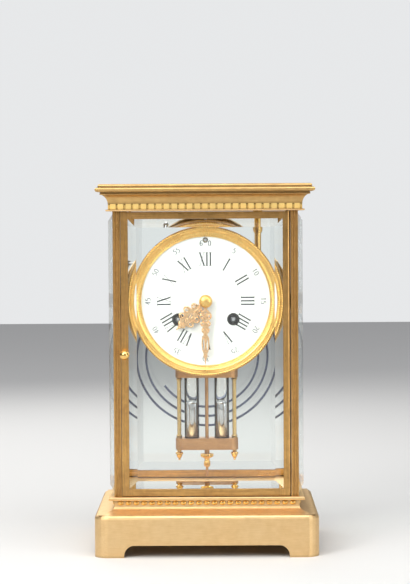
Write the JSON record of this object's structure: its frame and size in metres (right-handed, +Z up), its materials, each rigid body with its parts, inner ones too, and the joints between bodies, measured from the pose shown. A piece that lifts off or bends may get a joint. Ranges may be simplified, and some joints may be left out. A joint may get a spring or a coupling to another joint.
{
  "type": "crystal regulator clock",
  "caption": "Crystal regulator mantel clock: glazed brass case with moulded plinth and cornice, enamel dial, toothed movement, mercury-jar pendulum and coil gong.",
  "frame": {"origin": "middle of the plinth's underside, on the surface the clock stands on", "axes": "+Z up, the dial and the front door face -Y, +X is to the right seen from the front"},
  "size_m": [0.16, 0.138, 0.265],
  "materials": {
    "case_brass": "satin lacquered",
    "door_brass": "brushed, lacquered",
    "gilt": "bright gilt",
    "glass": "clear, bevelled",
    "steel": "polished",
    "movement_brass": "grained",
    "pendulum_brass": "coppery, aged",
    "enamel": "glossy vitreous enamel",
    "collar_black": "black",
    "mercury": "liquid mirror"
  },
  "bodies": {
    "case": {"plinth": "case_brass", "floor_plate": "case_brass", "corner_posts": "door_brass", "side_glass_left": "glass", "side_glass_right": "glass", "ceiling_plate": "case_brass", "cornice_dentil_band": "gilt", "cornice": "case_brass", "screws": "steel", "hinge_pins": "steel", "movement_rails": "movement_brass", "movement_brackets": "movement_brass", "front_plate": "movement_brass", "back_plate": "movement_brass", "plate_pillars": "movement_brass", "dial": "enamel", "dial_pan": "movement_brass", "bezel": "gilt", "winding_hole_collars": "collar_black", "suspension_cock": "movement_brass", "suspension_spring": "steel", "gong_post": "steel", "gong_coil": "steel"},
    "front_door": {"front_door_frame": "door_brass", "front_door_glass": "glass"},
    "front_latch": {"front_door_catch": "door_brass"},
    "rear_door": {"rear_door_frame": "door_brass", "rear_door_glass": "glass"},
    "rear_latch": {"rear_door_catch": "door_brass"},
    "minute_arbor": {"centre_wheel": "movement_brass", "cannon_pinion": "movement_brass", "minute_hand": "gilt", "hand_nut": "gilt"},
    "hour_work": {"hour_wheel": "movement_brass", "hour_hand": "gilt"},
    "minute_wheel": {"minute_wheel": "movement_brass"},
    "going_barrel": {"going_barrel": "movement_brass"},
    "going_second": {"going_second_wheel": "movement_brass"},
    "third": {"third_wheel": "movement_brass"},
    "escape": {"escape_wheel": "movement_brass"},
    "anchor": {"anchor": "steel"},
    "pendulum": {"pendulum_rod": "pendulum_brass", "pendulum_upper_tray": "pendulum_brass", "pendulum_lower_tray": "pendulum_brass", "pendulum_side_rods": "pendulum_brass", "pendulum_finials": "gilt", "mercury_jars": "glass", "mercury": "mercury"},
    "rating_nut": {"rating_nut": "pendulum_brass"},
    "going_winding": {"going_winding_arbor": "steel"},
    "strike_winding": {"strike_winding_arbor": "steel"},
    "going_click": {"going_click": "steel"},
    "strike_click": {"strike_click": "steel"},
    "regulator": {"regulator_arbor": "steel"},
    "strike_barrel": {"strike_barrel": "movement_brass"},
    "strike_second": {"strike_second_wheel": "movement_brass"},
    "strike_pin": {"strike_pin_wheel": "movement_brass"},
    "strike_fly": {"strike_fly": "movement_brass"},
    "hammer": {"hammer": "steel"}
  },
  "joints": [
    {"name": "front_door_hinge", "type": "hinge", "parent": "case", "child": "front_door", "pos_m": [0.05835, -0.0535, 0.14365], "axis": [0, 0, 1], "range_deg": [0, 95]},
    {"name": "front_latch_turn", "type": "hinge", "parent": "front_door", "child": "front_latch", "pos_m": [-0.05777, -0.0555, 0.14365], "axis": [0, 1, 0], "range_deg": [0, 90]},
    {"name": "rear_door_hinge", "type": "hinge", "parent": "case", "child": "rear_door", "pos_m": [-0.05835, 0.0535, 0.14365], "axis": [0, 0, 1], "range_deg": [0, 95]},
    {"name": "rear_latch_turn", "type": "hinge", "parent": "rear_door", "child": "rear_latch", "pos_m": [0.05777, 0.0555, 0.14365], "axis": [0, -1, 0], "range_deg": [0, 90]},
    {"name": "minute_turn", "type": "hinge", "parent": "case", "child": "minute_arbor", "pos_m": [0, 0, 0.181], "axis": [0, 1, 0], "continuous": true},
    {"name": "hour_turn", "type": "hinge", "parent": "case", "child": "hour_work", "pos_m": [0, 0, 0.181], "axis": [0, 1, 0], "continuous": true},
    {"name": "minute_wheel_turn", "type": "hinge", "parent": "case", "child": "minute_wheel", "pos_m": [0, 0, 0.169], "axis": [0, 1, 0], "continuous": true},
    {"name": "going_barrel_turn", "type": "hinge", "parent": "case", "child": "going_barrel", "pos_m": [0.0198, 0, 0.1678], "axis": [0, 1, 0], "continuous": true},
    {"name": "going_second_turn", "type": "hinge", "parent": "case", "child": "going_second", "pos_m": [0.01455, 0, 0.18813], "axis": [0, 1, 0], "continuous": true},
    {"name": "third_turn", "type": "hinge", "parent": "case", "child": "third", "pos_m": [-0.00519, 0, 0.19467], "axis": [0, 1, 0], "continuous": true},
    {"name": "escape_turn", "type": "hinge", "parent": "case", "child": "escape", "pos_m": [0, 0, 0.20516], "axis": [0, 1, 0], "continuous": true},
    {"name": "pendulum_swing", "type": "hinge", "parent": "case", "child": "pendulum", "pos_m": [0, 0.014, 0.217], "axis": [0, 1, 0], "range_deg": [-3, 3]},
    {"name": "anchor_swing", "type": "hinge", "parent": "case", "child": "anchor", "pos_m": [0, 0, 0.217], "axis": [0, 1, 0], "range_deg": [-3, 3]},
    {"name": "rating_nut_turn", "type": "hinge", "parent": "pendulum", "child": "rating_nut", "pos_m": [0, 0.014, 0.0632], "axis": [0, 0, 1], "continuous": true},
    {"name": "going_winding_turn", "type": "hinge", "parent": "case", "child": "going_winding", "pos_m": [0.0198, 0, 0.1678], "axis": [0, 1, 0], "continuous": true},
    {"name": "strike_winding_turn", "type": "hinge", "parent": "case", "child": "strike_winding", "pos_m": [-0.0198, 0, 0.1678], "axis": [0, 1, 0], "continuous": true},
    {"name": "going_click_pivot", "type": "hinge", "parent": "case", "child": "going_click", "pos_m": [0.03013, 0, 0.16231], "axis": [0, 1, 0], "range_deg": [0, 12], "stiffness_Nm_per_rad": 0.0005, "springref_deg": -17.19},
    {"name": "strike_click_pivot", "type": "hinge", "parent": "case", "child": "strike_click", "pos_m": [-0.03013, 0, 0.16231], "axis": [0, -1, 0], "range_deg": [0, 12], "stiffness_Nm_per_rad": 0.0005, "springref_deg": -17.19},
    {"name": "regulator_turn", "type": "hinge", "parent": "case", "child": "regulator", "pos_m": [0, 0, 0.2248], "axis": [0, 1, 0], "range_deg": [-180, 180]},
    {"name": "strike_barrel_turn", "type": "hinge", "parent": "case", "child": "strike_barrel", "pos_m": [-0.0198, 0, 0.1678], "axis": [0, 1, 0], "continuous": true},
    {"name": "strike_second_turn", "type": "hinge", "parent": "case", "child": "strike_second", "pos_m": [-0.02524, 0, 0.18808], "axis": [0, 1, 0], "continuous": true},
    {"name": "strike_pin_turn", "type": "hinge", "parent": "case", "child": "strike_pin", "pos_m": [-0.01866, 0, 0.20045], "axis": [0, 1, 0], "continuous": true},
    {"name": "strike_fly_turn", "type": "hinge", "parent": "case", "child": "strike_fly", "pos_m": [-0.01605, 0, 0.21018], "axis": [0, 1, 0], "continuous": true},
    {"name": "hammer_lift", "type": "hinge", "parent": "case", "child": "hammer", "pos_m": [-0.03, 0.024, 0.207], "axis": [0, 1, 0], "range_deg": [0, 12], "stiffness_Nm_per_rad": 0.003, "springref_deg": -22.92}
  ],
  "couplings": [
    {"joint": "hour_turn", "follows": "minute_turn", "ratio": 0.083333},
    {"joint": "minute_wheel_turn", "follows": "minute_turn", "ratio": -0.33333},
    {"joint": "going_barrel_turn", "follows": "minute_turn", "ratio": 0.033333},
    {"joint": "going_second_turn", "follows": "minute_turn", "ratio": -0.2},
    {"joint": "third_turn", "follows": "minute_turn", "ratio": -12},
    {"joint": "escape_turn", "follows": "minute_turn", "ratio": 144},
    {"joint": "anchor_swing", "follows": "pendulum_swing", "ratio": 1},
    {"joint": "strike_barrel_turn", "follows": "strike_second_turn", "ratio": -0.16667},
    {"joint": "strike_pin_turn", "follows": "strike_second_turn", "ratio": -6},
    {"joint": "strike_fly_turn", "follows": "strike_second_turn", "ratio": 36}
  ]
}
